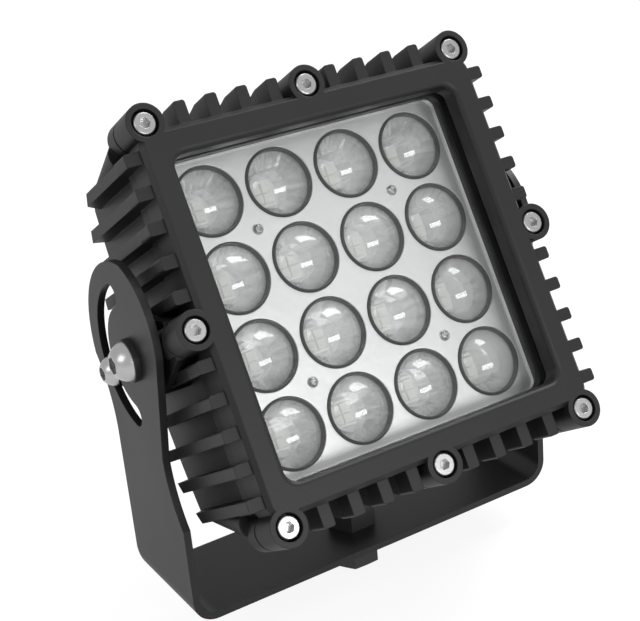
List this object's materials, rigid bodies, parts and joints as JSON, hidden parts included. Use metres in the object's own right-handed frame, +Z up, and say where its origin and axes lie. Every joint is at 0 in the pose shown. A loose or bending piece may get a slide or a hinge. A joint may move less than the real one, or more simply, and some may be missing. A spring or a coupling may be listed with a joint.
{
  "type": "led flood light",
  "caption": "Square finned flood light with a grid of domed lenses behind glass, tilting in a U bracket with arc slots.",
  "frame": {"origin": "underside of the bracket base, on the axis of the mounting bolt", "axes": "+X to the lamp's right as seen from behind its front, +Y to the rear, +Z up from the base"},
  "size_m": [0.1524, 0.1144, 0.1739],
  "materials": {
    "black_casting": "satin black powder coat on die-cast aluminium",
    "black_steel": "satin black powder coat on bent steel strip",
    "clear_glass": "clear toughened glass",
    "black_rubber": "matt black rubber",
    "silvered_plastic": "satin silver metallised moulding",
    "lens_acrylic": "clear acrylic",
    "white_board": "white solder mask on a metal-core board",
    "emitter": "white package with yellow phosphor",
    "bare_aluminium": "plain machined aluminium",
    "bright_steel": "bright stainless steel",
    "green_board": "green circuit board",
    "choke_coat": "varnished copper winding",
    "capacitor_sleeve": "dark sleeve",
    "black_nylon": "black nylon",
    "black_bolt": "black zinc on steel"
  },
  "bodies": {
    "mount_hardware": {"mount_bolt": "black_bolt", "mount_washer": "black_bolt", "spring_washer": "black_bolt", "mount_nut": "black_bolt"},
    "u_bracket": {"bracket": "black_steel"},
    "lamp_head": {"housing": "black_casting", "front_bezel": "black_casting", "window_glass": "clear_glass", "window_gasket": "black_rubber", "body_gasket": "black_rubber", "reflector_plate": "silvered_plastic", "lens_r1_c1": "lens_acrylic", "lens_r1_c2": "lens_acrylic", "lens_r1_c3": "lens_acrylic", "lens_r1_c4": "lens_acrylic", "lens_r2_c1": "lens_acrylic", "lens_r2_c2": "lens_acrylic", "lens_r2_c3": "lens_acrylic", "lens_r2_c4": "lens_acrylic", "lens_r3_c1": "lens_acrylic", "lens_r3_c2": "lens_acrylic", "lens_r3_c3": "lens_acrylic", "lens_r3_c4": "lens_acrylic", "lens_r4_c1": "lens_acrylic", "lens_r4_c2": "lens_acrylic", "lens_r4_c3": "lens_acrylic", "lens_r4_c4": "lens_acrylic", "led_board": "white_board", "led_emitters": "emitter", "heat_spreader": "bare_aluminium", "bezel_screws": "bright_steel", "reflector_screws": "bright_steel", "driver_board": "green_board", "driver_choke": "choke_coat", "driver_capacitors": "capacitor_sleeve", "cable_gland": "black_nylon", "gland_nut": "black_nylon", "gland_seal": "black_rubber", "breather_valve": "black_nylon", "pivot_bolt_left": "bright_steel", "clamp_bolt_left": "bright_steel", "pivot_washer_left": "black_bolt", "pivot_spacer_left": "black_nylon", "clamp_spacer_left": "black_nylon", "pivot_bolt_right": "bright_steel", "clamp_bolt_right": "bright_steel", "pivot_washer_right": "black_bolt", "pivot_spacer_right": "black_nylon", "clamp_spacer_right": "black_nylon"}
  },
  "joints": [
    {"name": "bracket_swivel", "type": "hinge", "parent": "mount_hardware", "child": "u_bracket", "pos_m": [0, 0, 0], "axis": [0, 0, 1], "continuous": true},
    {"name": "head_tilt", "type": "hinge", "parent": "u_bracket", "child": "lamp_head", "pos_m": [0, 0.0015, 0.0852], "axis": [-1, 0, 0], "range_deg": [-93, 51]}
  ]
}
